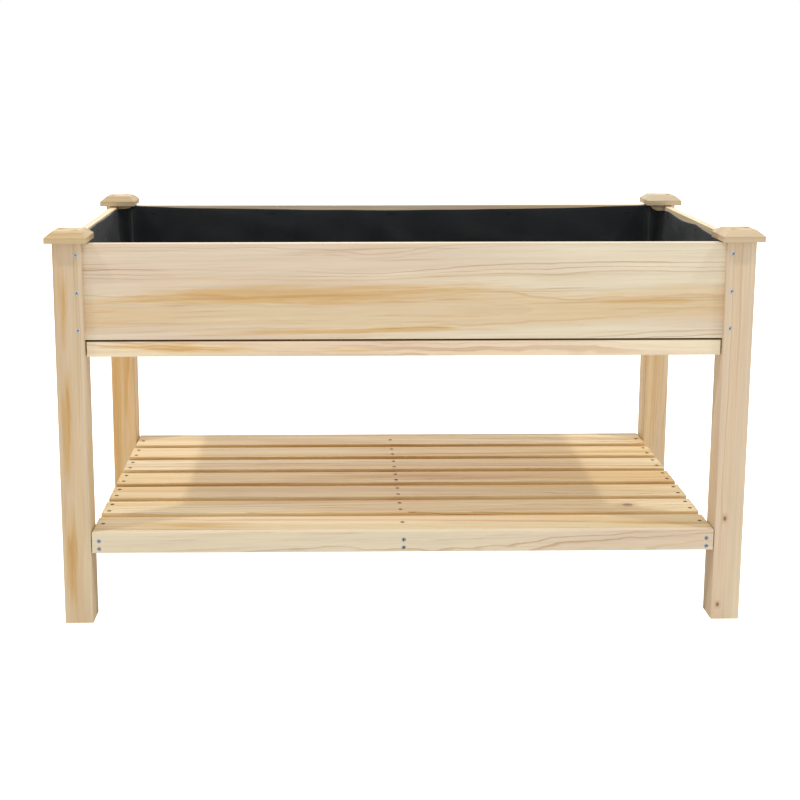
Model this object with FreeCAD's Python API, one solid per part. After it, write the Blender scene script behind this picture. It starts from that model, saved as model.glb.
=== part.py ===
"""Raised wooden planter on four legs, with a slatted storage shelf and a fabric liner. Millimetres, +Z up.

The origin is on the ground, under the middle of the planter. X runs along its length and the front faces -Y.
Every board, cap, fastener group and the liner is a node of its own, written to parts/NODE.step.
"""
import FreeCAD, Part

import math
import os

from FreeCAD import Vector

# ---- overall sizes, over the outer faces of the legs ----
length = 1200.0
depth = 580.0
leg_height = 682.0

# ---- legs ----
leg_size = 50.0             # a leg's width along X and along Y
leg_round = 2.0             # rounding of a leg's long edges

# ---- caps on the legs ----
cap_over = 11.0             # how far a cap stands out past its leg
cap_edge = 10.0             # height of a cap's upright edge
cap_rise = 10.0             # height of the bevel above that edge
cap_inset = 12.0            # how far the bevel runs in
cap_round = 0.8

# ---- panels of the planting bed, housed in grooves in the legs ----
panel_height = 167.5
panel_drop = 2.5            # from the legs' tops down to the panels' tops
panel_thick = 15.0
panel_recess = 8.5          # behind the legs' outer faces
panel_tongue = 15.0         # depth of the groove that a panel's end stands in
groove_play = 0.3           # beside a panel in its groove
tongue_play = 1.0           # past a panel's end in its groove

# ---- slatted frames: the bed's floor and the shelf ----
slat_count = 7
slat_gap = 17.5
slat_thick = 12.0
rail_thick = 12.0           # front and rear rails and aprons
batten_width = 25.0
batten_cover = 3.0          # wood left under a slat screw's tip
floor_gap = 2.5             # between the panels and the floor slats
floor_rail_height = 27.5
floor_batten_height = 15.0
floor_end_play = 2.0        # between the floor's ends and the legs
side_rail_play = 0.2        # between a side rail and its neighbours
shelf_top = 168.0           # height of the shelf's upper face
shelf_apron_height = 38.0
shelf_batten_height = 26.0
shelf_end_play = 1.5        # between the shelf's ends and the legs
board_round = 1.4           # rounding of a board's edges

# ---- liner ----
liner_thick = 1.2
liner_play = 0.6            # between the liner and the wood
liner_below_top = 8.0       # from the top of the panels down to the liner's edge

# ---- fasteners ----
screw_head_r = 3.9
screw_head_height = 2.8
screw_shank_r = 2.0
screw_tip = 5.0
screw_sunk = 0.3            # how far a head lies below the wood's face
slat_screw_sunk = 1.3
recess_width = 1.0          # the cross recess in a screw's head
recess_span = 4.6
recess_depth = 1.7
drive_play = 0.05           # around every fastener in the wood
panel_screws_down = (0.11, 0.5, 0.89)       # shares of the panels' height, from their tops
panel_screw_in = 10.0       # from a leg's inner face to its panel screws
tip_cover = 1.5             # wood left in front of a panel screw's tip
slat_screw_grip = 18.0      # how far a slat screw goes into its batten, at most
slat_screw_spread = 34.0    # between the two screws across a slat
rail_screw_length = 26.0
rail_screw_rise = 2.0       # from a batten's middle up to the middle of its rail screws
rail_screw_spread = 14.6
mount_screw_length = 46.0
mount_screw_in = 18.0       # from a rail's inner face in to the screws that hold the frames
mount_screw_spread = 12.0   # one above the other, where the batten is high enough
end_screw_grip = 26.0       # how far a screw through a leg goes into a floor rail's end
side_rail_screw_at = 110.0  # along Y from the middle
nail_head_r = 2.0
nail_head_height = 1.0
nail_shank_r = 1.2
nail_length = 34.0
nail_sunk = 0.8
nail_out = (-14.0, 6.0)     # the nail nearer the leg's outer side, from the cap's middle
nail_in = (13.0, -11.0)     # the nail nearer the planter's outer long face
staple_crown = 10.0
staple_wire = 1.2
staple_leg = 8.0
staple_below = 7.0          # from the liner's edge down to the staples
staple_from_leg = 45.0
staple_spacing = 330.0      # at most, between staples along a panel

LEFT_RIGHT = (("left", -1), ("right", 1))
FRONT_REAR = (("front", -1), ("rear", 1))

# ---- places worked out from the sizes above ----
half_x = length / 2
half_y = depth / 2
leg_in_x = half_x - leg_size
leg_in_y = half_y - leg_size
panel_top = leg_height - panel_drop
panel_bottom = panel_top - panel_height
long_outer = half_y - panel_recess
long_inner = long_outer - panel_thick
side_outer = half_x - panel_recess
side_inner = side_outer - panel_thick
floor_top = panel_bottom - floor_gap
liner_top = panel_top - liner_below_top


def block(x0, x1, y0, y1, z0, z1, rounding=0.0):
    """A box between two corners given in any order, with its edges rounded."""
    x0, x1 = sorted((x0, x1))
    y0, y1 = sorted((y0, y1))
    z0, z1 = sorted((z0, z1))
    solid = Part.makeBox(x1 - x0, y1 - y0, z1 - z0, Vector(x0, y0, z0))
    return solid.makeFillet(rounding, solid.Edges) if rounding else solid


# ---- fasteners: each is modelled with its head's top at the origin, pointing down ----

def turned(profile):
    """A solid of revolution about Z from its outline in the XZ plane."""
    points = [Vector(r, 0, z) for r, z in profile]
    face = Part.Face(Part.makePolygon(points + points[:1]))
    return face.revolve(Vector(0, 0, 0), Vector(0, 0, 1), 360)


def screw_outline(long, sunk, play):
    """Head and shank of a screw, from under its head's rim to its tip."""
    shank = screw_shank_r + play
    return [
        (shank, -sunk - screw_head_height),
        (shank, -long + screw_tip),
        (0, -long - play),
    ]


def screw(long, sunk):
    """A countersunk screw whose head's top lies sunk below the wood's face."""
    cross = [
        Part.makeBox(sx, sy, recess_depth, Vector(-sx / 2, -sy / 2, -sunk - recess_depth))
        for sx, sy in ((recess_width, recess_span), (recess_span, recess_width))
    ]
    body = turned([(0, -sunk), (screw_head_r, -sunk)] + screw_outline(long, sunk, 0))
    return body.cut(cross[0].fuse(cross[1]))


def screw_hole(long, sunk):
    """The close hole that a screw is driven in, open above its head."""
    head = screw_head_r + drive_play
    return turned([(0, sunk), (head, sunk), (head, -sunk)] + screw_outline(long, sunk, drive_play))


def nail_body(head_r, head_height, shank_r, long, play=0.0, sunk=0.0):
    """A nail, or the hole it is driven in: sunk is the hole above its head."""
    return turned([
        (0, sunk),
        (head_r + play, sunk),
        (head_r + play, -head_height),
        (shank_r + play, -head_height),
        (shank_r + play, -long + 2 * shank_r),
        (0, -long - play),
    ])


def staple(play=0.0):
    """A staple lying across X, its crown's outer face at the origin, with legs going down."""
    half, wire = staple_crown / 2 + play, staple_wire + 2 * play
    crown = Part.makeBox(2 * half, wire, staple_wire + play, Vector(-half, -wire / 2, -staple_wire - play))
    legs = [
        Part.makeBox(wire, wire, staple_leg + play, Vector(x, -wire / 2, -staple_leg - play))
        for x in (-half, half - wire)
    ]
    return crown.fuse(legs).removeSplitter()


def aimed(solid, place, direction):
    """The solid turned so that what pointed down points along direction, and moved to place."""
    turned_solid = solid.copy()
    rotation = FreeCAD.Rotation(Vector(0, 0, -1), Vector(*direction))
    turned_solid.Placement = FreeCAD.Placement(Vector(*place), rotation)
    return turned_solid


class Fasteners:
    """One group of like fasteners, with the holes that they are driven in."""

    def __init__(self, body, hole):
        self.body, self.hole = body, hole
        self.solids, self.holes = [], []

    def drive(self, place, direction):
        self.solids.append(aimed(self.body, place, direction))
        self.holes.append(aimed(self.hole, place, direction))


def screws(long, sunk=screw_sunk):
    return Fasteners(screw(long, sunk), screw_hole(long, sunk))


# ---- where the fasteners go ----

def panel_screws():
    """Three through each leg into the end of each panel: a group for the long panels and one for the sides."""
    long_group = screws(panel_recess + panel_thick - tip_cover)
    side_group = screws(panel_recess + panel_thick - tip_cover)
    for _, sx in LEFT_RIGHT:
        for _, sy in FRONT_REAR:
            for share in panel_screws_down:
                z = panel_top - share * panel_height
                long_group.drive((sx * (leg_in_x + panel_screw_in), sy * half_y, z), (0, -sy, 0))
                side_group.drive((sx * half_x, sy * (leg_in_y + panel_screw_in), z), (-sx, 0, 0))
    return long_group, side_group


def cap_nails():
    sizes = (nail_head_r, nail_head_height, nail_shank_r, nail_length)
    group = Fasteners(nail_body(*sizes), nail_body(*sizes, play=drive_play, sunk=2 * nail_sunk))
    z = leg_height + cap_edge + cap_rise - nail_sunk
    for _, sx in LEFT_RIGHT:
        for _, sy in FRONT_REAR:
            for out_x, in_y in (nail_out, nail_in):
                x = sx * (half_x - leg_size / 2 - out_x)
                group.drive((x, sy * (half_y - leg_size / 2 - in_y), z), (0, 0, -1))
    return group


class SlattedFrame:
    """Slats on three battens between a front and a rear rail, level with the rails' tops."""

    def __init__(self, name, rail_name, top, outer, rail_height, batten_height, end_play):
        self.name, self.rail_name = name, rail_name
        self.top, self.outer = top, outer
        self.rail_height, self.batten_height = rail_height, batten_height
        self.end = leg_in_x - end_play
        self.rail_inner = outer - rail_thick
        self.slat_width = (2 * self.rail_inner - (slat_count - 1) * slat_gap) / slat_count
        self.batten_top = top - slat_thick
        self.batten_middle = self.batten_top - self.batten_height / 2
        end_batten = self.end - batten_width / 2
        self.batten_places = (("left", -end_batten), ("middle", 0.0), ("right", end_batten))
        pitch = self.slat_width + slat_gap
        first = self.slat_width / 2 - self.rail_inner
        self.slat_places = [first + i * pitch for i in range(slat_count)]

    def pieces(self):
        """The wooden pieces, as {node: solid}."""
        made = {}
        low = self.batten_top - self.batten_height
        for side, sy in FRONT_REAR:
            made[f"{self.name}_{side}_{self.rail_name}"] = block(
                -self.end, self.end, sy * self.rail_inner, sy * self.outer,
                self.top - self.rail_height, self.top, board_round,
            )
        for side, x in self.batten_places:
            x0, x1 = x - batten_width / 2, x + batten_width / 2
            made[f"{self.name}_batten_{side}"] = block(
                x0, x1, -self.rail_inner, self.rail_inner, low, self.batten_top, board_round,
            )
        for i, y in enumerate(self.slat_places):
            y0, y1 = y - self.slat_width / 2, y + self.slat_width / 2
            made[f"{self.name}_slat_{i + 1}"] = block(
                -self.end, self.end, y0, y1, self.batten_top, self.top, board_round,
            )
        return made

    def slat_screws(self):
        """Two screws where a slat crosses a batten, and one in the first and the last slat."""
        grip = min(slat_screw_grip, self.batten_height - batten_cover)
        group = screws(slat_thick + grip, slat_screw_sunk)
        for _, x in self.batten_places:
            for y in self.slat_places:
                outermost = y in (self.slat_places[0], self.slat_places[-1])
                for step in (0,) if outermost else (-0.5, 0.5):
                    group.drive((x, y + step * slat_screw_spread, self.top), (0, 0, -1))
        return group

    def rail_screws(self):
        """Two screws through a rail into the end of each batten."""
        group = screws(rail_screw_length)
        for _, x in self.batten_places:
            for _, sy in FRONT_REAR:
                for step in (-0.5, 0.5):
                    z = self.batten_middle + rail_screw_rise + step * rail_screw_spread
                    group.drive((x, sy * self.outer, z), (0, -sy, 0))
        return group

    def mount_screws(self):
        """From inside each end batten into the legs."""
        group = screws(mount_screw_length)
        y = self.rail_inner - mount_screw_in
        two = self.batten_height > mount_screw_spread + 2 * screw_head_r
        for _, sx in LEFT_RIGHT:
            for _, sy in FRONT_REAR:
                for step in (-0.5, 0.5) if two else (0,):
                    z = self.batten_middle + step * mount_screw_spread
                    group.drive((sx * (self.end - batten_width), sy * y, z), (sx, 0, 0))
        return group


def floor_rail_screws(floor):
    """Through each leg from its outer side, into the end of a floor rail."""
    group = screws(half_x - floor.end + end_screw_grip)
    z = floor.top - floor.rail_height / 2
    for _, sx in LEFT_RIGHT:
        for _, sy in FRONT_REAR:
            group.drive((sx * half_x, sy * (floor.outer - rail_thick / 2), z), (-sx, 0, 0))
    return group


def side_rail_screws(floor):
    """From the floor's end battens into the side rails."""
    group = screws(mount_screw_length)
    for _, sx in LEFT_RIGHT:
        for y in (-side_rail_screw_at, side_rail_screw_at):
            group.drive((sx * (floor.end - batten_width), y, floor.batten_middle), (sx, 0, 0))
    return group


def staple_row(half_run):
    """Places along a panel, the outermost a little way from the legs."""
    end = half_run - staple_from_leg
    count = max(2, math.ceil(2 * end / staple_spacing) + 1)
    return [-end + 2 * end * i / (count - 1) for i in range(count)]


def liner_staples():
    """Staples through the liner into the panels, lying along its upper edge."""
    group = Fasteners(staple(), staple(drive_play))
    z = liner_top - staple_below
    proud = liner_play + liner_thick + staple_wire
    for _, sy in FRONT_REAR:
        for x in staple_row(leg_in_x):
            group.drive((x, sy * (long_inner - proud), z), (0, sy, 0))
    for _, sx in LEFT_RIGHT:
        for y in staple_row(leg_in_y):
            place, rotation = Vector(sx * (side_inner - proud), y, z), FreeCAD.Rotation(Vector(0, 0, 1), 90)
            for solid, kept in ((group.body, group.solids), (group.hole, group.holes)):
                upright = aimed(solid, (0, 0, 0), (0, -sx, 0))
                upright.Placement = FreeCAD.Placement(place, rotation).multiply(upright.Placement)
                kept.append(upright)
    return group


# ---- wooden pieces ----

def leg(sx, sy):
    """A post with rounded long edges and a groove for each of the two panels that meet in it."""
    post = Part.makeBox(leg_size, leg_size, leg_height, Vector(-leg_size / 2, -leg_size / 2, 0))
    upright = [e for e in post.Edges if abs(e.tangentAt(e.FirstParameter).z) > 0.5]
    post = post.makeFillet(leg_round, upright)
    post.translate(Vector(sx * (half_x - leg_size / 2), sy * (half_y - leg_size / 2), 0))
    above = leg_height + 1
    long_groove = block(
        sx * (leg_in_x - leg_round), sx * (leg_in_x + panel_tongue),
        sy * (long_inner - groove_play), sy * (long_outer + groove_play),
        panel_bottom, above,
    )
    side_groove = block(
        sx * (side_inner - groove_play), sx * (side_outer + groove_play),
        sy * (leg_in_y - leg_round), sy * (leg_in_y + panel_tongue),
        panel_bottom, above,
    )
    return post.cut([long_groove, side_groove])


def cap(sx, sy):
    """A square cap with an upright edge and a bevel up to its flat top."""
    x, y = sx * (half_x - leg_size / 2), sy * (half_y - leg_size / 2)
    half = leg_size / 2 + cap_over

    def outline(inset, z):
        corners = [(-1, -1), (1, -1), (1, 1), (-1, 1), (-1, -1)]
        return Part.makePolygon([Vector(x + i * (half - inset), y + j * (half - inset), z) for i, j in corners])

    edge_top = leg_height + cap_edge
    bevel = Part.makeLoft([outline(0, edge_top), outline(cap_inset, edge_top + cap_rise)], True, True)
    solid = bevel.fuse(block(x - half, x + half, y - half, y + half, leg_height, edge_top)).removeSplitter()
    return solid.makeFillet(cap_round, solid.Edges)


def long_panel(sy):
    end = leg_in_x + panel_tongue - tongue_play
    return block(-end, end, sy * long_inner, sy * long_outer, panel_bottom, panel_top, board_round)


def side_panel(sx):
    end = leg_in_y + panel_tongue - tongue_play
    return block(sx * side_inner, sx * side_outer, -end, end, panel_bottom, panel_top, board_round)


def side_rail(sx, floor):
    """Closes the bed's floor between the legs, under a side panel."""
    end = leg_in_y - side_rail_play
    inner = floor.end + side_rail_play
    return block(sx * inner, sx * side_outer, -end, end, floor_top - floor_rail_height, floor_top, board_round)


# ---- liner ----

def liner():
    """A fabric tray on the bed's floor, up its four walls and round the inner corners of the legs."""

    def outline(inset):
        """Twelve points: the room inside the panels, less the corner of each leg."""
        wall_x, wall_y = side_inner - inset, long_inner - inset
        post_x, post_y = leg_in_x - inset, leg_in_y - inset
        quarter = [(wall_x, post_y), (post_x, post_y), (post_x, wall_y)]
        points = [(x, y) for x, y in quarter]
        points += [(-x, y) for x, y in reversed(quarter)]
        points += [(-x, -y) for x, y in quarter]
        points += [(x, -y) for x, y in reversed(quarter)]
        return points

    def prism(inset, low, high):
        corners = [Vector(x, y, low) for x, y in outline(inset)]
        return Part.Face(Part.makePolygon(corners + corners[:1])).extrude(Vector(0, 0, high - low))

    base = floor_top + liner_play
    outside = prism(liner_play, base, liner_top)
    return outside.cut(prism(liner_play + liner_thick, base + liner_thick, liner_top + 1))


def drilled(solid, groups):
    """The solid with a hole for every fastener that enters it."""
    box = solid.BoundBox
    holes = [h for g in groups for h in g.holes if box.intersect(h.BoundBox)]
    return solid.cut(holes) if holes else solid


def build():
    """Every node as {name: one solid, or a list of like solids}."""
    floor = SlattedFrame(
        "floor", "rail", floor_top, long_outer, floor_rail_height, floor_batten_height, floor_end_play,
    )
    shelf = SlattedFrame(
        "shelf", "apron", shelf_top, half_y, shelf_apron_height, shelf_batten_height, shelf_end_play,
    )
    pieces = {}
    for side, sx in LEFT_RIGHT:
        for end, sy in FRONT_REAR:
            pieces[f"leg_{end}_{side}"] = leg(sx, sy)
            pieces[f"cap_{end}_{side}"] = cap(sx, sy)
        pieces[f"side_panel_{side}"] = side_panel(sx)
        pieces[f"floor_side_rail_{side}"] = side_rail(sx, floor)
    for end, sy in FRONT_REAR:
        pieces[f"{end}_panel"] = long_panel(sy)
    pieces.update(floor.pieces())
    pieces.update(shelf.pieces())
    pieces["liner"] = liner()

    long_panel_screws, side_panel_screws = panel_screws()
    groups = {
        "long_panel_screws": long_panel_screws,
        "side_panel_screws": side_panel_screws,
        "cap_nails": cap_nails(),
        "shelf_slat_screws": shelf.slat_screws(),
        "shelf_apron_screws": shelf.rail_screws(),
        "shelf_mount_screws": shelf.mount_screws(),
        "floor_slat_screws": floor.slat_screws(),
        "floor_rail_screws": floor_rail_screws(floor),
        "floor_mount_screws": floor.mount_screws(),
        "side_rail_screws": side_rail_screws(floor),
        "liner_staples": liner_staples(),
    }
    nodes = {name: drilled(solid, groups.values()) for name, solid in pieces.items()}
    for name, group in groups.items():
        nodes[name] = group.solids
    return nodes


def main():
    os.makedirs("parts", exist_ok=True)
    for name, made in build().items():
        shape = Part.makeCompound(made) if isinstance(made, list) else made
        if not shape.isValid() or any(s.Volume <= 0 for s in shape.Solids):
            raise ValueError(f"{name} isn't a valid solid")
        shape.exportStep(f"parts/{name}.step")
        print(f"{name}: {len(shape.Solids)} solids, {shape.Volume / 1000:.1f} cm3")


main()
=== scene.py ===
import math
import random

import bmesh
import bpy
from mathutils import Euler, Matrix, Vector, noise


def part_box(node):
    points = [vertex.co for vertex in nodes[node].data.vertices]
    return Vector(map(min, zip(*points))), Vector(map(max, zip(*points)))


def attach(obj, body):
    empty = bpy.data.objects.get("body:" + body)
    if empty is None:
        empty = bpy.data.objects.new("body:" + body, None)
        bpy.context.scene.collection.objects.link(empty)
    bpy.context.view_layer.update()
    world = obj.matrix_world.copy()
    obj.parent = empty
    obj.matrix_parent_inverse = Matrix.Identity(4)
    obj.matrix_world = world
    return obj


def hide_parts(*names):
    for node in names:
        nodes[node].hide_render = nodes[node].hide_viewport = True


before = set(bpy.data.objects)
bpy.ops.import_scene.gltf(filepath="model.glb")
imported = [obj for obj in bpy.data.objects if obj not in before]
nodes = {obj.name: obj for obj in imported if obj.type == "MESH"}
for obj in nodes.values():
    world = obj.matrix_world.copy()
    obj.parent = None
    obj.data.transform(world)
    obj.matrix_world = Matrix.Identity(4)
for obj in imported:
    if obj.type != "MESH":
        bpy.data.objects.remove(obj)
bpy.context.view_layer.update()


# small helpers for shader nodes

def addNode(tree, kind, **settings):
    node = tree.nodes.new("ShaderNode" + kind)
    for name, value in settings.items():
        setattr(node, name, value)
    return node


def feed(tree, socket, value):
    # a value is another node's output, or a plain number, vector or colour
    if isinstance(value, bpy.types.NodeSocket):
        tree.links.new(value, socket)
    elif value is not None:
        socket.default_value = value


def calc(tree, operation, a, b=None, c=None, clamp=False):
    node = addNode(tree, "Math", operation=operation, use_clamp=clamp)
    for socket, value in zip(node.inputs, (a, b, c)):
        feed(tree, socket, value)
    return node.outputs[0]


def vectorCalc(tree, operation, a, b=None):
    node = addNode(tree, "VectorMath", operation=operation)
    feed(tree, node.inputs[0], a)
    feed(tree, node.inputs[1], b)
    return node.outputs["Value"] if operation in ("LENGTH", "DOT_PRODUCT") else node.outputs[0]


def mixColour(tree, factor, a, b, blend="MIX"):
    node = addNode(tree, "Mix", data_type="RGBA", blend_type=blend)
    feed(tree, node.inputs[0], factor)
    feed(tree, node.inputs[6], a)
    feed(tree, node.inputs[7], b)
    return node.outputs[2]


def smooth(tree, value, low, high, toLow=0.0, toHigh=1.0):
    # eases from toLow at low to toHigh at high; low may be the greater of the two
    node = addNode(tree, "MapRange", interpolation_type="SMOOTHSTEP")
    given = {"Value": value, "From Min": low, "From Max": high, "To Min": toLow, "To Max": toHigh}
    for name, number in given.items():
        feed(tree, node.inputs[name], number)
    return node.outputs[0]


def noiseOf(tree, vector, stretch=(1, 1, 1), detail=2.0, roughness=0.5):
    scaled = vectorCalc(tree, "MULTIPLY", vector, stretch)
    node = addNode(tree, "TexNoise")
    feed(tree, node.inputs["Vector"], scaled)
    feed(tree, node.inputs["Scale"], 1.0)
    feed(tree, node.inputs["Detail"], detail)
    feed(tree, node.inputs["Roughness"], roughness)
    return node.outputs[0]


def lineNoise(tree, value, detail=1.0):
    node = addNode(tree, "TexNoise", noise_dimensions="1D")
    feed(tree, node.inputs["W"], value)
    feed(tree, node.inputs["Scale"], 1.0)
    feed(tree, node.inputs["Detail"], detail)
    return node.outputs[0]


def offMiddle(tree, noiseValue):
    # noise runs from 0 to 1, so this swings either side of nothing
    return calc(tree, "SUBTRACT", noiseValue, 0.5)


def newGroup(name, inputs, outputs):
    group = bpy.data.node_groups.new(name, "ShaderNodeTree")
    for label, kind, default in inputs:
        socket = group.interface.new_socket(label, in_out="INPUT", socket_type="NodeSocket" + kind)
        if default is not None:
            socket.default_value = default
    for label, kind in outputs:
        group.interface.new_socket(label, in_out="OUTPUT", socket_type="NodeSocket" + kind)
    return group, group.nodes.new("NodeGroupInput").outputs, group.nodes.new("NodeGroupOutput").inputs


def placeGroup(tree, group, **values):
    # a socket with a space in its name is given with an underscore
    node = tree.nodes.new("ShaderNodeGroup")
    node.node_tree = group
    for name, value in values.items():
        feed(tree, node.inputs[name.replace("_", " ")], value)
    return node.outputs


def newMaterial(name):
    material = bpy.data.materials.new(name)
    material.use_nodes = True
    tree = material.node_tree
    tree.nodes.clear()
    shader = addNode(tree, "BsdfPrincipled")
    output = addNode(tree, "OutputMaterial")
    tree.links.new(shader.outputs[0], output.inputs[0])
    return material, tree, shader


def addBump(tree, shader, height, strength, distance):
    bump = addNode(tree, "Bump")
    bump.inputs["Strength"].default_value = strength
    bump.inputs["Distance"].default_value = distance
    feed(tree, bump.inputs["Height"], height)
    feed(tree, shader.inputs["Normal"], bump.outputs[0])


def linearOf(level):
    return level / 12.92 if level <= 0.04045 else ((level + 0.055) / 1.055) ** 2.4


def sRgb(red, green, blue):
    # screen colour, 0 to 255, as the linear colour that a shader takes
    return (linearOf(red / 255), linearOf(green / 255), linearOf(blue / 255), 1.0)


# softwood

softwood = {
    "pale": sRgb(229, 213, 182),
    "pink": sRgb(222, 200, 172),
    "tan": sRgb(214, 174, 110),
    "line": sRgb(174, 122, 68),
    "heart": sRgb(120, 72, 38),
    "shelfPale": sRgb(229, 213, 172),   # the shelf's boards are yellower
    "shelfPink": sRgb(220, 195, 146),
    "shelfTan": sRgb(203, 165, 94),
    "slatSidePaintedShade": (0.90, 0.71, 0.49, 1),   # painted shade: multiplies a slat's colour on its narrow sides, as the shade in the gaps between slats
    "slatSidePaintedShadeBelow": (0.0016, 0.0045),       # how far below its top that painted shade starts, and is full
    "jointTop": (0.30, 0.20, 0.13, 1),  # the same painted shade for a floor rail's top, in the shade under the panel's lower edge
    "jointBelow": (0.0014, 0.0003),
    "roughness": 0.62,
    "gloss": 0.35,
    "bump": 0.35,
    "bumpDepth": 0.0006,
    "stainSize": 0.0042,                # round each nail of a cap
    "stainDark": 0.9,
}

# how bright each sort of board is, and how much it leans to tan: partly the wood's own tone and partly
# painted light, brighter for the shelf's slats and the rear legs in the bed's shade, darker for the front
# slat, front legs and caps, which catch more light
boardToneAndPaintedLight = {
    "leg_front_left": (0.87, 0.13), "leg_front_right": (0.90, -0.02),
    "leg_rear_left": (1.08, 0.24), "leg_rear_right": (1.10, 0.08),
    "cap_front_right": (0.78, 0.08), "cap_rear_right": (0.78, 0.08), "cap": (0.72, 0.27),
    "front_panel": (0.95, -0.08), "floor_front_rail": (1.05, -0.08), "shelf_front_apron": (0.96, -0.05),
    "shelf_slat_1": (0.81, -0.06), "shelf_slat_3": (1.08, -0.12), "shelf_slat_4": (0.98, 0.22),
    "shelf_slat_6": (1.07, 0.20), "shelf_slat": (1.10, -0.04),
    "side_panel": (1.04, 0.16), "": (0.95, 0.06),
}


def makeKnotFigure():
    # a knot pushes the rings aside along a lens shape and has a dark heart of its own
    group, given, out = newGroup(
        "knotFigure",
        [
            ("Vector", "Vector", None), ("Place", "Vector", None),
            ("Size", "Float", 0.008), ("Push", "Float", 0.01),
        ],
        [("Pull", "Float"), ("Heart", "Float"), ("Halo", "Float")],
    )
    away = vectorCalc(group, "SUBTRACT", given["Vector"], given["Place"])
    wobble = noiseOf(group, given["Vector"], (60, 180, 180), 2)
    near = vectorCalc(group, "LENGTH", vectorCalc(group, "MULTIPLY", away, (0.62, 1, 1)))
    wide = vectorCalc(group, "LENGTH", vectorCalc(group, "MULTIPLY", away, (0.16, 0.7, 0.7)))
    near = calc(group, "DIVIDE", near, given["Size"])
    near = calc(group, "ADD", near, calc(group, "MULTIPLY", offMiddle(group, wobble), 0.5))
    spread = calc(group, "DIVIDE", wide, calc(group, "MULTIPLY", given["Size"], 1.6))
    fall = calc(group, "EXPONENT", calc(group, "MULTIPLY", calc(group, "MULTIPLY", spread, spread), -1.0))
    feed(group, out["Pull"], calc(group, "MULTIPLY", fall, given["Push"]))
    feed(group, out["Heart"], smooth(group, near, 1.05, 0.55))
    feed(group, out["Halo"], smooth(group, near, 2.6, 0.8))
    return group


def makeFlameFigure():
    # a long tongue of darker wood that frays at its edges
    group, given, out = newGroup(
        "flameFigure",
        [
            ("Vector", "Vector", None), ("Place", "Vector", None),
            ("Long", "Float", 0.2), ("High", "Float", 0.015),
        ],
        [("Flame", "Float")],
    )
    away = addNode(group, "SeparateXYZ")
    feed(group, away.inputs[0], vectorCalc(group, "SUBTRACT", given["Vector"], given["Place"]))
    drift = offMiddle(group, noiseOf(group, given["Vector"], (5, 20, 20), 2))
    spread = addNode(group, "CombineXYZ")
    feed(group, spread.inputs[0], calc(group, "DIVIDE", away.outputs[0], given["Long"]))
    for place in (1, 2):
        moved = calc(group, "MULTIPLY_ADD", drift, given["High"], away.outputs[place])
        feed(group, spread.inputs[place], calc(group, "DIVIDE", moved, given["High"]))
    fray = noiseOf(group, given["Vector"], (7, 170, 170), 3, 0.6)
    reach = vectorCalc(group, "LENGTH", spread.outputs[0])
    reach = calc(group, "MULTIPLY_ADD", offMiddle(group, fray), 1.5, reach)
    feed(group, out["Flame"], smooth(group, reach, 1.1, 0.25))
    return group


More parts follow.
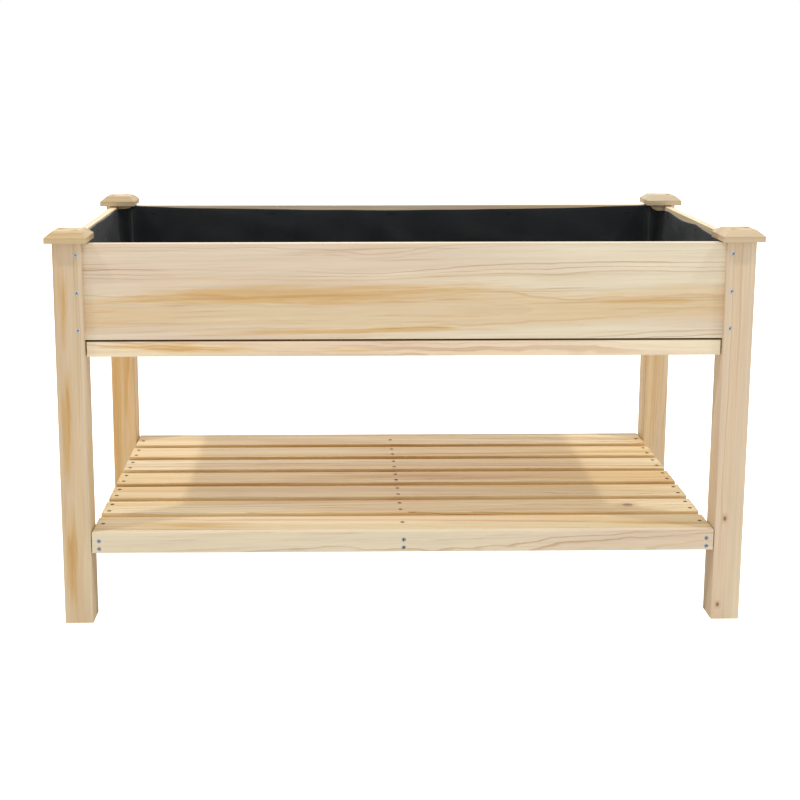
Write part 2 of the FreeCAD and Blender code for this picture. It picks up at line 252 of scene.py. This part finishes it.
def makeBoardGrain():
    # growth rings about the log's own axis, which lies along X; the board is cut out of that log
    group, given, out = newGroup(
        "boardGrain",
        [
            ("Vector", "Vector", None), ("Pull", "Float", 0.0), ("Flame", "Float", 0.0),
            ("Ring Gap", "Float", 0.004), ("Wobble", "Float", 0.02), ("Band", "Float", 0.5),
            ("Line Strength", "Float", 0.5),
            ("Pale", "Color", softwood["pale"]), ("Pink", "Color", softwood["pink"]),
            ("Tan", "Color", softwood["tan"]), ("Line", "Color", softwood["line"]),
        ],
        [("Color", "Color"), ("Roughness", "Float"), ("Height", "Float")],
    )
    vector = given["Vector"]
    parts = addNode(group, "SeparateXYZ")
    feed(group, parts.inputs[0], vector)
    across = addNode(group, "CombineXYZ")
    feed(group, across.inputs[1], parts.outputs[1])
    feed(group, across.inputs[2], parts.outputs[2])
    radius = vectorCalc(group, "LENGTH", across.outputs[0])

    # no log is quite round: the rings swing in three sizes, and knots push them aside
    radius = calc(group, "ADD", radius, given["Pull"])
    for share, stretch in ((1.0, (1.6, 7, 7)), (0.24, (13, 38, 38)), (0.035, (34, 120, 120))):
        swing = offMiddle(group, noiseOf(group, vector, stretch, 2))
        radius = calc(group, "MULTIPLY_ADD", swing, calc(group, "MULTIPLY", given["Wobble"], share), radius)

    # the dark late wood of each ring, stronger in some years and fading along the board
    rings = calc(group, "DIVIDE", radius, given["Ring Gap"])
    rings = calc(group, "MULTIPLY_ADD", lineNoise(group, calc(group, "MULTIPLY", radius, 55.0)), 5.0, rings)
    phase = calc(group, "FRACT", rings)
    late = calc(group, "MULTIPLY", smooth(group, phase, 0.66, 0.92), smooth(group, phase, 1.0, 0.95))
    strong = smooth(group, lineNoise(group, calc(group, "MULTIPLY", rings, 0.37)), 0.40, 0.60)
    fade = smooth(group, noiseOf(group, vector, (3.0, 24, 24), 2), 0.32, 0.58, 0.15, 1.0)
    late = calc(group, "MULTIPLY", late, calc(group, "MULTIPLY", strong, fade))

    # bands of tan that follow the rings, and finer marks that don't
    bandAcross = addNode(group, "CombineXYZ")
    feed(group, bandAcross.inputs[0], calc(group, "MULTIPLY", parts.outputs[0], 0.5))
    feed(group, bandAcross.inputs[1], calc(group, "MULTIPLY", radius, 42.0))
    band = smooth(group, noiseOf(group, bandAcross.outputs[0], (1, 1, 1), 2.5), 0.46, 0.66)
    band = calc(group, "MULTIPLY", band, given["Band"])
    band = calc(group, "MAXIMUM", band, calc(group, "MULTIPLY", given["Flame"], 0.85))
    blush = smooth(group, noiseOf(group, vector, (1.3, 16, 16), 2), 0.40, 0.68)
    fibre = noiseOf(group, vector, (14, 900, 900), 2, 0.6)
    streak = noiseOf(group, vector, (3.2, 150, 150), 3, 0.6)
    hair = noiseOf(group, vector, (2.6, 230, 230), 3, 0.7)

    colour = mixColour(group, blush, given["Pale"], given["Pink"])
    colour = mixColour(group, band, colour, given["Tan"])
    hairStrength = calc(group, "MULTIPLY", given["Line Strength"], 0.55)
    hair = calc(group, "MULTIPLY", smooth(group, hair, 0.56, 0.70), hairStrength)
    colour = mixColour(group, hair, colour, given["Line"])
    core = smooth(group, given["Flame"], 0.6, 1.0, 0.0, 0.45)
    core = calc(group, "MULTIPLY", core, smooth(group, streak, 0.50, 0.62))
    amount = calc(group, "MAXIMUM", calc(group, "MULTIPLY", late, given["Line Strength"]), core)
    colour = mixColour(group, amount, colour, given["Line"])
    tone = smooth(group, streak, 0.25, 0.75, 0.94, 1.05)
    tone = calc(group, "MULTIPLY", tone, smooth(group, fibre, 0.2, 0.8, 0.965, 1.03))
    shade = addNode(group, "CombineXYZ")
    for socket in shade.inputs:
        feed(group, socket, tone)
    colour = mixColour(group, 1.0, colour, shade.outputs[0], "MULTIPLY")
    feed(group, out["Color"], colour)

    rough = smooth(group, late, 0.0, 1.0, softwood["roughness"], softwood["roughness"] - 0.12)
    feed(group, out["Roughness"], calc(group, "MULTIPLY_ADD", offMiddle(group, fibre), 0.14, rough))
    height = calc(group, "MULTIPLY_ADD", late, 0.6, calc(group, "MULTIPLY", fibre, 0.5))
    feed(group, out["Height"], calc(group, "MULTIPLY_ADD", streak, 0.5, height))
    return group


def grainTurn(along):
    # turns the row's axis that the grain follows onto X
    return {
        "x": Matrix.Identity(3),
        "y": Euler((0, 0, -math.pi / 2)).to_matrix(),
        "z": Euler((0, math.pi / 2, 0)).to_matrix(),
    }[along]


def woodMaterial(name, along, cut, knots, flames):
    # cut: how the board was sawn from its log; knots: places, sizes, how far they push the rings, how dark;
    # flames: places, half lengths and half heights
    low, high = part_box(name)
    centre = Vector([(a + b) / 2 for a, b in zip(low, high)])
    tilt = Euler((cut["roll"], math.radians(cut["tiltY"]), math.radians(cut["tiltZ"]))).to_matrix()
    turn = tilt @ grainTurn(along)
    shift = Vector((cut["along"], cut["pithY"], cut["pithZ"])) - turn @ centre

    material, tree, shader = newMaterial("wood." + name)
    coordinates = addNode(tree, "TexCoord")
    mapping = addNode(tree, "Mapping")
    feed(tree, mapping.inputs["Vector"], coordinates.outputs["Object"])
    mapping.inputs["Rotation"].default_value = turn.to_euler("XYZ")
    mapping.inputs["Location"].default_value = shift
    vector = mapping.outputs[0]

    pull, heart, halo = 0.0, 0.0, 0.0
    for place, size, push, dark in knots:
        inLog = turn @ Vector(place) + shift
        figure = placeGroup(tree, knotFigure, Vector=vector, Place=inLog, Size=size, Push=push)
        pull = calc(tree, "ADD", figure["Pull"], pull)
        heart = calc(tree, "MAXIMUM", calc(tree, "MULTIPLY", figure["Heart"], dark), heart)
        halo = calc(tree, "MAXIMUM", calc(tree, "MULTIPLY", figure["Halo"], dark), halo)
    flame = 0.0
    for place, long, tall in flames:
        inLog = turn @ Vector(place) + shift
        figure = placeGroup(tree, flameFigure, Vector=vector, Place=inLog, Long=long, High=tall)
        flame = calc(tree, "MAXIMUM", figure["Flame"], flame)

    grain = placeGroup(
        tree, boardGrain, Vector=vector, Pull=pull, Flame=flame, Ring_Gap=cut["gap"], Wobble=cut["wobble"],
        Band=cut["band"], Line_Strength=cut["lines"],
        Pale=cut["pale"], Pink=cut["pink"], Tan=cut["tan"], Line=softwood["line"],
    )
    colour = grain["Color"]
    if knots:
        colour = mixColour(tree, calc(tree, "MULTIPLY", halo, 0.35), colour, softwood["line"])
        colour = mixColour(tree, calc(tree, "MULTIPLY", heart, 0.75), colour, softwood["heart"])
    apart = addNode(tree, "SeparateXYZ")
    feed(tree, apart.inputs[0], coordinates.outputs["Object"])
    heightHere, top = apart.outputs[2], high[2]
    if "slat_" in name:
        # painted shade on the slat's narrow sides, below its top face
        side = smooth(tree, heightHere, *[top - below for below in softwood["slatSidePaintedShadeBelow"]])
        colour = mixColour(tree, side, colour, softwood["slatSidePaintedShade"], "MULTIPLY")
    if name.startswith("floor_") and "rail" in name:
        # painted shade on the floor rail's top face and its upper arris
        joint = smooth(tree, heightHere, *[top - below for below in softwood["jointBelow"]])
        colour = mixColour(tree, joint, colour, softwood["jointTop"], "MULTIPLY")
    feed(tree, shader.inputs["Base Color"], colour)
    feed(tree, shader.inputs["Roughness"], grain["Roughness"])
    shader.inputs["Specular IOR Level"].default_value = softwood["gloss"]
    addBump(tree, shader, grain["Height"], softwood["bump"], softwood["bumpDepth"])
    return material


def tinted(colour, brightness, warmth):
    # warmth takes away blue, and about a third as much green
    shares = (1, 1 - 0.35 * warmth, 1 - warmth)
    return (*[min(part * brightness * share, 1) for part, share in zip(colour, shares)], colour[3])


# the ranges that each board's own sawing is drawn from
sawing = {
    "brightness": (0.96, 1.04),
    "warmth": (-0.05, 0.08),
    "pith": (0.035, 0.09),          # from the log's heart to the board
    "aside": (-0.05, 0.05),         # and to its side
    "roll": (-0.5, 0.5),            # radians, and none for a panel
    "tilt": (-1.5, 1.5),            # degrees off the log's length
    "along": (-20, 20),
    "gap": (0.0035, 0.0062),        # between rings
    "slatGap": (0.0055, 0.0085),
    "wobble": (0.016, 0.03),
    "band": (0.25, 0.75),
    "lines": (0.45, 0.75),
    "slatLines": (0.95, 1.2),
}


def cutFor(name, along):
    # a board's own cut, the same each run because its name seeds it
    dice = random.Random(name)

    def draw(kind):
        return dice.uniform(*sawing[kind])

    # the board's tone, partly its own and partly painted light
    tone, lean = next(boardToneAndPaintedLight[start] for start in boardToneAndPaintedLight if name.startswith(start))
    brightness = tone * draw("brightness")
    warmth = lean + draw("warmth")
    upright = along == "z"
    shelf = name.startswith("shelf_slat")
    pith = draw("pith")
    aside = draw("aside")
    return {
        "roll": 0.0 if "panel" in name else draw("roll"),
        "tiltY": draw("tilt"),
        "tiltZ": draw("tilt"),
        "along": draw("along"),
        "pithY": draw("aside") if upright else pith,
        "pithZ": pith if upright else aside,
        "gap": draw("slatGap" if shelf else "gap"),
        "wobble": draw("wobble"),
        "band": draw("band"),
        "lines": draw("slatLines" if shelf else "lines"),
        "pale": tinted(softwood["shelfPale" if shelf else "pale"], brightness, warmth),
        "pink": tinted(softwood["shelfPink" if shelf else "pink"], brightness, warmth),
        "tan": tinted(softwood["shelfTan" if shelf else "tan"], brightness, warmth * 0.6),
    }


# what is particular to a board: its sawing, knots as (place, size, push, dark)
# and flames as (place, half length, half height)
boardLook = {
    "front_panel": {
        "cut": {
            "pithY": 0.045, "pithZ": 0.03, "tiltY": 0.9, "tiltZ": 0.6,
            "gap": 0.0085, "band": 0.5, "lines": 0.7, "wobble": 0.028,
        },
        "knots": [((-0.04, -0.2815, 0.650), 0.011, 0.016, 0.0), ((0.30, -0.2815, 0.600), 0.010, 0.010, 0.0)],
        "flames": [
            ((-0.20, -0.2815, 0.588), 0.52, 0.022),
            ((0.40, -0.2815, 0.577), 0.16, 0.008),
            ((-0.1, -0.2815, 0.527), 0.38, 0.007),
        ],
    },
    "floor_front_rail": {
        "cut": {"band": 0.25, "gap": 0.006, "lines": 0.35},
        "flames": [((-0.36, -0.2835, 0.497), 0.20, 0.011), ((-0.08, -0.2835, 0.492), 0.09, 0.004)],
    },
    "leg_front_left": {
        "cut": {"lines": 0.35},
        "knots": [((-0.560, -0.29, 0.19), 0.009, 0.010, 0.0)],
        "flames": [
            ((-0.586, -0.29, 0.58), 0.10, 0.010),
            ((-0.584, -0.29, 0.36), 0.13, 0.012),
            ((-0.582, -0.29, 0.11), 0.13, 0.014),
        ],
    },
    "leg_front_right": {
        "cut": {"lines": 0.3, "band": 0.15},
        "knots": [((0.567, -0.29, 0.188), 0.0032, 0.006, 1.0), ((0.561, -0.29, 0.028), 0.0028, 0.006, 1.0)],
    },
    "leg_rear_left": {"flames": [((-0.565, 0.24, 0.38), 0.2, 0.012)]},
    "shelf_front_apron": {"cut": {"band": 0.15, "lines": 0.55, "gap": 0.008, "wobble": 0.03}},
    "shelf_slat_1": {"flames": [((-0.38, -0.255, 0.168), 0.16, 0.020), ((0.46, -0.255, 0.168), 0.12, 0.014)]},
    "shelf_slat_2": {"cut": {"band": 0.5}, "knots": [((0.424, -0.163, 0.168), 0.0075, 0.010, 1.0)]},
    "shelf_slat_4": {"cut": {"band": 1.0}, "flames": [((0.05, 0.0, 0.168), 0.34, 0.022)]},
    "shelf_slat_5": {"flames": [((-0.22, 0.085, 0.168), 0.13, 0.007)]},
    "shelf_slat_6": {"cut": {"band": 0.9}},
}


def nailStains(cap):
    # a small dark stain round each nail of a cap, as a knot that leaves the grain alone
    low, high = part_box(cap)
    middle = (low[0] + high[0]) / 2
    heads = [
        v.co for v in nodes["cap_nails"].data.vertices
        if v.co.z > high[2] - 0.002 and low[0] < v.co.x < high[0] and low[1] < v.co.y < high[1]
    ]
    stains = []
    for side in (-1, 1):
        mine = [co for co in heads if side * (co.x - middle) > 0]
        x, y = (sum(co[i] for co in mine) / len(mine) for i in (0, 1))
        stains.append(((x, y, high[2]), softwood["stainSize"], 0.0, softwood["stainDark"]))
    return stains


def grainAlong(name):
    if name.startswith("leg_"):
        return "z"
    return "y" if "batten" in name or name.startswith(("side_panel", "floor_side_rail")) else "x"


def finishBoards():
    woodWords = ("leg_", "cap_", "panel", "rail", "apron", "batten", "slat_")
    count = 0
    for name, board in nodes.items():
        if "screws" in name or not any(word in name for word in woodWords):
            continue
        along = grainAlong(name)
        look = boardLook.get(name, {})
        cut = {**cutFor(name, along), **look.get("cut", {})}
        knots = nailStains(name) if name.startswith("cap_") else look.get("knots", ())
        material = woodMaterial(name, along, cut, knots, look.get("flames", ()))
        for slot in board.material_slots:
            slot.material = material
        count += 1
    print("boards finished:", count)


knotFigure = makeKnotFigure()
flameFigure = makeFlameFigure()
boardGrain = makeBoardGrain()
finishBoards()


# screws, nails and staples

zinc = {
    "bright": {"colour": sRgb(205, 206, 208), "dull": sRgb(160, 164, 170), "roughness": 0.40},
    "grey": {"colour": sRgb(178, 184, 191), "dull": sRgb(126, 133, 142), "roughness": 0.42},
    # darker zinc: on the shelf's slat screws it is painted shade and a painted reflection of the bed's dark
    # underside
    "dark": {"colour": sRgb(112, 112, 114), "dull": sRgb(70, 70, 72), "roughness": 0.48},
    # painted shade for the recesses below a screw head's face
    "recessShade": sRgb(38, 36, 35),
    "recessShadeBelow": (0.0003, 0.0009),     # how far below the head's face the painted shade starts, and is full
    "bump": 0.25,
    "bumpDepth": 0.0002,
}
staple = {
    "colour": sRgb(30, 31, 33),
    "worn": sRgb(62, 63, 66),
    "roughness": 0.45,
    "bump": 0.2,
    "bumpDepth": 0.0001,
}


def makeZinc(piece, look, axis):
    # the heads of a piece's screws all lie in its outermost planes along one axis, and painted shade darkens
    # the recesses below them
    material, tree, shader = newMaterial("zinc." + piece)
    coordinates = addNode(tree, "TexCoord").outputs["Object"]
    apart = addNode(tree, "SeparateXYZ")
    feed(tree, apart.inputs[0], coordinates)
    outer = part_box(piece)[1][axis]
    depth = calc(tree, "SUBTRACT", outer, calc(tree, "ABSOLUTE", apart.outputs[axis]))
    # painted shade in the recesses: dark and not metallic
    recessShade = smooth(tree, depth, *zinc["recessShadeBelow"])
    cloud = noiseOf(tree, coordinates, (420, 420, 420), 3, 0.6)
    speck = noiseOf(tree, coordinates, (2600, 2600, 2600), 2, 0.5)
    plate = mixColour(tree, smooth(tree, cloud, 0.42, 0.66), look["colour"], look["dull"])
    feed(tree, shader.inputs["Base Color"], mixColour(tree, recessShade, plate, zinc["recessShade"]))
    feed(tree, shader.inputs["Metallic"], smooth(tree, recessShade, 0.0, 1.0, 1.0, 0.0))
    rough = smooth(tree, cloud, 0.3, 0.7, look["roughness"], look["roughness"] + 0.2)
    feed(tree, shader.inputs["Roughness"], rough)
    addBump(tree, shader, speck, zinc["bump"], zinc["bumpDepth"])
    return material


def makeLacquer():
    # black lacquer on the liner's staples, rubbed grey in places
    material, tree, shader = newMaterial("stapleLacquer")
    coordinates = addNode(tree, "TexCoord").outputs["Object"]
    rub = noiseOf(tree, coordinates, (700, 700, 700), 3, 0.6)
    colour = mixColour(tree, smooth(tree, rub, 0.56, 0.70), staple["colour"], staple["worn"])
    rough = smooth(tree, rub, 0.3, 0.7, staple["roughness"], staple["roughness"] + 0.15)
    feed(tree, shader.inputs["Base Color"], colour)
    feed(tree, shader.inputs["Roughness"], rough)
    addBump(tree, shader, rub, staple["bump"], staple["bumpDepth"])
    return material


# each piece's plating, made darker than real zinc on the shelf's slat screws as painted shade and a painted
# reflection of the bed above, and the axis along which its fasteners were driven from outside
platingAndPaintedShade = {
    "long_panel_screws": ("bright", 1), "side_panel_screws": ("bright", 0), "shelf_apron_screws": ("grey", 1),
    "shelf_slat_screws": ("dark", 2), "cap_nails": ("dark", 2), "floor_rail_screws": ("grey", 0),
    "floor_slat_screws": ("grey", 2), "floor_mount_screws": ("grey", 2), "shelf_mount_screws": ("grey", 2),
    "side_rail_screws": ("grey", 0),
}
for piece, (kind, axis) in platingAndPaintedShade.items():
    finish = makeZinc(piece, zinc[kind], axis)
    for slot in nodes[piece].material_slots:
        slot.material = finish
lacquer = makeLacquer()
for slot in nodes["liner_staples"].material_slots:
    slot.material = lacquer
print("fasteners finished:", len(platingAndPaintedShade) + 1, "groups")


# black liner

linerCloth = {
    "grid": 0.012,              # spacing of the mesh
    "thickness": 0.0011,
    "cornerCells": 3,           # cells along each side of a leg's corner
    "cornerGap": 0.0016,        # how far it stands off the legs
    "topDrop": 0.0008,          # below the panels' tops beside the legs
    "longSag": 0.009,           # further drop in the middle of the long walls
    "sideSag": {-1: (0.001, 0.002), 1: (0.005, 0.005)},     # at a side wall's staples, and more between
    "staplesApart": 0.195,      # along the side walls
    "uneven": 0.0012,           # small waves in the long edges and the floor
    "fold": 0.005,              # broad folds in the walls
    "crease": 0.005,            # and sharp ones
    "foot": 0.012,              # how far the walls come in at their foot
    "floorFold": 0.011,
    "floorFlat": 0.03,          # beside the walls, where the floor's folds die out
    "weld": 0.0008,             # points nearer than this become one
    "cornerHold": 0.004,        # points this near a leg's corner aren't softened
    "corner": 0.02,             # rounding where the walls meet the floor
    "softenings": 2,
    "dark": sRgb(20, 22, 23),
    "worn": sRgb(32, 35, 38),
    "hair": sRgb(58, 61, 66),
    "sheen": 0.12,
    "sheenRoughness": 0.45,
    "gloss": 0.3,
    "bump": 0.5,
    "bumpDepth": 0.0005,
}


def makeLinerWeave():
    # pressed non-woven sheet: short random fibres with rows of tiny bonding dimples
    group, given, out = newGroup(
        "linerWeave", [("Vector", "Vector", None)],
        [("Color", "Color"), ("Roughness", "Float"), ("Height", "Float")],
    )
    vector = given["Vector"]
    fibre = noiseOf(group, vector, (1500, 520, 1500), 3, 0.65)
    cross = noiseOf(group, vector, (480, 1500, 520), 3, 0.65)
    cloud = noiseOf(group, vector, (9, 9, 9), 3, 0.55)
    dots = addNode(group, "TexVoronoi", feature="F1")
    feed(group, dots.inputs["Vector"], vector)
    dots.inputs["Scale"].default_value = 560.0
    dots.inputs["Randomness"].default_value = 0.25
    dimple = smooth(group, dots.outputs["Distance"], 0.15, 0.5)
    hairs = calc(group, "MAXIMUM", fibre, cross)
    colour = mixColour(group, smooth(group, cloud, 0.35, 0.7), linerCloth["dark"], linerCloth["worn"])
    colour = mixColour(group, smooth(group, hairs, 0.55, 0.8, 0.0, 0.35), colour, linerCloth["hair"])
    feed(group, out["Color"], colour)
    feed(group, out["Roughness"], smooth(group, cloud, 0.3, 0.7, 0.58, 0.74))
    feed(group, out["Height"], calc(group, "MULTIPLY_ADD", hairs, 0.6, dimple))
    return group


def makeLinerMaterial():
    material, tree, shader = newMaterial("linerFabric")
    coordinates = addNode(tree, "TexCoord").outputs["Object"]
    weave = placeGroup(tree, linerWeave, Vector=coordinates)
    feed(tree, shader.inputs["Base Color"], weave["Color"])
    feed(tree, shader.inputs["Roughness"], weave["Roughness"])
    shader.inputs["Sheen Weight"].default_value = linerCloth["sheen"]
    shader.inputs["Sheen Roughness"].default_value = linerCloth["sheenRoughness"]
    shader.inputs["Specular IOR Level"].default_value = linerCloth["gloss"]
    addBump(tree, shader, weave["Height"], linerCloth["bump"], linerCloth["bumpDepth"])
    return material


tiny = 1e-4     # two places nearer than this are the same


def evenCuts(end, spacing):
    count = max(2, round(2 * end / spacing))
    return [-end + 2 * end * i / count for i in range(count + 1)]


def cornerCuts(post, wall, cells):
    return [s * (post + (wall - post) * i / cells) for i in range(1, cells) for s in (-1, 1)]


def ridge(noiseValue, start):
    # the noise's creases: nothing in most places, and up to 1 along their crests
    return (max(0, 1 - abs(noiseValue) - start) / (1 - start)) ** 2


def cutLiner(mesh, walls, posts, floorZ, topZ):
    # an open box, cut into a grid that has its own lines at the legs' corners
    bmesh.ops.create_cube(mesh, size=2.0)
    bmesh.ops.scale(mesh, vec=(*walls, (topZ - floorZ) / 2), verts=mesh.verts)
    bmesh.ops.translate(mesh, vec=(0, 0, (topZ + floorZ) / 2), verts=mesh.verts)
    lid = [face for face in mesh.faces if face.calc_center_median().z > topZ - tiny]
    bmesh.ops.delete(mesh, geom=lid, context="FACES")
    cuts = [
        evenCuts(post, linerCloth["grid"]) + cornerCuts(post, wall, linerCloth["cornerCells"])
        for post, wall in zip(posts, walls)
    ]
    rows = round((topZ - floorZ) / linerCloth["grid"])
    cuts.append([floorZ + (topZ - floorZ) * i / rows for i in range(1, rows)])
    for axis, places in enumerate(cuts):
        normal = [float(i == axis) for i in range(3)]
        for place in places:
            bmesh.ops.bisect_plane(
                mesh, geom=list(mesh.verts) + list(mesh.edges) + list(mesh.faces), dist=1e-5,
                plane_co=[place * n for n in normal], plane_no=normal,
            )


def foldAtLegs(mesh, walls, posts):
    # each corner of the box turns inwards round its leg
    (wallX, wallY), (postX, postY) = walls, posts
    deepX, deepY = wallX - postX, wallY - postY
    gone = []
    for face in mesh.faces:
        middle = face.calc_center_median()
        if abs(face.normal.z) > 0.5 and abs(middle.x) > postX and abs(middle.y) > postY:
            gone.append(face)
    bmesh.ops.delete(mesh, geom=gone, context="FACES")
    for vert in mesh.verts:
        x, y = abs(vert.co.x) - postX, abs(vert.co.y) - postY
        if x > tiny and y > tiny:
            vert.co.x = math.copysign(postX + (deepY - y) * deepX / deepY, vert.co.x)
            vert.co.y = math.copysign(postY + (deepX - x) * deepY / deepX, vert.co.y)
    bmesh.ops.remove_doubles(mesh, verts=mesh.verts, dist=linerCloth["weld"])
    bmesh.ops.recalc_face_normals(mesh, faces=mesh.faces)


def floorRise(place, walls, posts):
    # the floor wrinkles, and rounds up into the walls
    cloth = linerCloth
    x, y = place.xy
    edgeX = (walls[0] if abs(y) <= posts[1] else posts[0]) - abs(x)
    edgeY = (walls[1] if abs(x) <= posts[0] else posts[1]) - abs(y)
    edge = min(edgeX, edgeY)
    wrinkles = ridge(noise.noise(Vector((x * 5.1 + y * 2.3, y * 7.7 - x * 3.1, 4.2))), 0.72)
    lift = cloth["floorFold"] * wrinkles + cloth["uneven"] * (0.5 + 0.5 * noise.noise(place * 14))
    roundUp = max(0, 1 - edge / cloth["corner"]) ** 2
    return lift * min(1, max(edge, 0) / cloth["floorFlat"]) + 0.25 * roundUp * cloth["corner"]


def wallPush(place, run, share):
    # how far a wall stands in from the wood: broad folds, sharp creases, and its foot
    cloth = linerCloth
    x, y, z = place
    seed = 3 if y > 0 else 8
    drape = math.sin(math.pi * min(1, share)) ** 0.8
    folds = 0.5 + 0.5 * noise.noise(Vector((run * 9, share * 1.4 + (2 if x > 0 else 5), seed)))
    creases = ridge(noise.noise(Vector((run * 5.3 + z * 8, z * 4 - run * 2.2, seed))), 0.7)
    push = drape * (cloth["fold"] * folds + cloth["crease"] * creases)
    return push + cloth["foot"] * max(0, 1 - share * 4.5) ** 2


def hangLiner(mesh, walls, posts, floorZ, topZ):
    cloth = linerCloth
    postX, postY = posts
    for vert in mesh.verts:
        place = vert.co.copy()
        x, y, z = place
        share = (z - floorZ) / (topZ - floorZ)
        if share < tiny:
            vert.co.z += floorRise(place, walls, posts)
            continue
        onLong = abs(y) > postY + tiny and abs(x) <= postX + tiny
        onSide = abs(x) > postX + tiny and abs(y) <= postY + tiny
        drop = 0.0
        if onLong:
            vert.co.y -= math.copysign(wallPush(place, x, share), y)
            waves = noise.noise(Vector((x * 11, 1.7 if y > 0 else 6.1, 0)))
            drop = cloth["longSag"] * (1 - (x / postX) ** 2) + cloth["uneven"] * waves
        elif onSide:
            vert.co.x -= math.copysign(wallPush(place, y, share), x)
            least, further = cloth["sideSag"][int(math.copysign(1, x))]
            drop = least + further * abs(math.sin(math.pi * y / cloth["staplesApart"]))
        vert.co.z -= drop * share

    # soften every fold, but keep the upper edge where it hangs and the corners off the legs
    near = cloth["cornerHold"]
    soft = []
    for vert in mesh.verts:
        atPost = abs(abs(vert.co.x) - postX) < near and abs(abs(vert.co.y) - postY) < near
        if not vert.is_boundary and not atPost:
            soft.append(vert)
    for _ in range(cloth["softenings"]):
        bmesh.ops.smooth_vert(mesh, verts=soft, factor=0.5, use_axis_x=True, use_axis_y=True, use_axis_z=True)


def makeLiner():
    cloth = linerCloth
    low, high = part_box("liner")
    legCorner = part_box("leg_rear_right")[0]
    walls = (high[0], high[1])
    posts = (legCorner[0] - cloth["cornerGap"], legCorner[1] - cloth["cornerGap"])
    floorZ = low[2] + cloth["thickness"]
    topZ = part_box("front_panel")[1][2] - cloth["topDrop"]

    mesh = bmesh.new()
    cutLiner(mesh, walls, posts, floorZ, topZ)
    foldAtLegs(mesh, walls, posts)
    hangLiner(mesh, walls, posts, floorZ, topZ)
    data = bpy.data.meshes.new("planterLiner")
    mesh.to_mesh(data)
    mesh.free()
    for face in data.polygons:
        face.use_smooth = True
    liner = bpy.data.objects.new("planterLiner", data)
    bpy.context.scene.collection.objects.link(liner)
    data.materials.append(linerFabric)
    wall = liner.modifiers.new("wall", "SOLIDIFY")
    wall.thickness = cloth["thickness"]
    wall.offset = 0.0
    finer = liner.modifiers.new("finer", "SUBSURF")
    finer.levels = finer.render_levels = 1
    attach(liner, "root")
    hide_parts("liner")
    print("liner made:", len(data.polygons), "faces")


linerWeave = makeLinerWeave()
linerFabric = makeLinerMaterial()
makeLiner()


# studio

studio = {
    "floorSize": 30.0,
    "floorWhite": (0.82, 0.82, 0.82, 1),
    "floorSeen": 1.0,           # glow that the camera sees, so that the paper stays white in the shade
    "floorLight": 0.0,          # and how much of it falls on the planter
    "skySeen": 1.0,             # the white that the camera sees behind the planter
    "skyLight": 0.74,           # and the soft light that it gives
    "sunSize": 3.0,             # degrees across, so that the bed's shadow on the shelf has a narrow edge
    "suns": (                   # where each shines to, and its power: two from the front, one low from behind
        ((0.185, 0.085, -0.314), 0.92),
        ((-0.205, 0.085, -0.314), 0.92),
        ((0.0, -0.35, -0.2), 1.0),
    ),
}

view = {
    "lens": 57.32,
    "sensor": 36.0,
    "place": (-0.123, -2.427, 1.000),
    "turn": -0.851,             # degrees, above 0 to the left
    "down": 9.07,               # degrees below level
    "shiftX": 0.06,
    "shiftY": -0.18,
}


def makeStudio():
    mesh = bmesh.new()
    bmesh.ops.create_grid(mesh, x_segments=2, y_segments=2, size=studio["floorSize"] / 2)
    data = bpy.data.meshes.new("studioFloor")
    mesh.to_mesh(data)
    mesh.free()
    floor = bpy.data.objects.new("studioFloor", data)
    bpy.context.scene.collection.objects.link(floor)
    material, tree, shader = newMaterial("studioPaper")
    shader.inputs["Base Color"].default_value = studio["floorWhite"]
    shader.inputs["Roughness"].default_value = 0.9
    shader.inputs["Specular IOR Level"].default_value = 0.0
    shader.inputs["Emission Color"].default_value = (1, 1, 1, 1)
    seen = addNode(tree, "LightPath").outputs["Is Camera Ray"]
    glow = smooth(tree, seen, 0.0, 1.0, studio["floorLight"], studio["floorSeen"])
    feed(tree, shader.inputs["Emission Strength"], glow)
    data.materials.append(material)

    world = bpy.data.worlds.new("studioWorld")
    world.use_nodes = True
    tree = world.node_tree
    sky = tree.nodes["Background"]
    sky.inputs["Color"].default_value = (1, 1, 1, 1)
    seen = addNode(tree, "LightPath").outputs["Is Camera Ray"]
    feed(tree, sky.inputs["Strength"], smooth(tree, seen, 0.0, 1.0, studio["skyLight"], studio["skySeen"]))
    bpy.context.scene.world = world

    for towards, power in studio["suns"]:
        light = bpy.data.lights.new("sun", "SUN")
        light.energy, light.angle = power, math.radians(studio["sunSize"])
        lamp = bpy.data.objects.new("sun", light)
        lamp.location = (0, 0, 3)
        lamp.rotation_euler = Vector(towards).to_track_quat("-Z", "Y").to_euler()
        bpy.context.scene.collection.objects.link(lamp)


def makeCamera():
    camera = bpy.data.cameras.new("camera")
    camera.lens, camera.sensor_width = view["lens"], view["sensor"]
    camera.shift_x, camera.shift_y = view["shiftX"], view["shiftY"]
    camera.clip_end = 100.0
    holder = bpy.data.objects.new("camera", camera)
    holder.location = view["place"]
    holder.rotation_euler = (math.radians(90 - view["down"]), 0, math.radians(view["turn"]))
    bpy.context.scene.collection.objects.link(holder)
    bpy.context.scene.camera = holder
    bpy.context.scene.view_settings.view_transform = "Standard"


makeStudio()
makeCamera()
print("studio set")
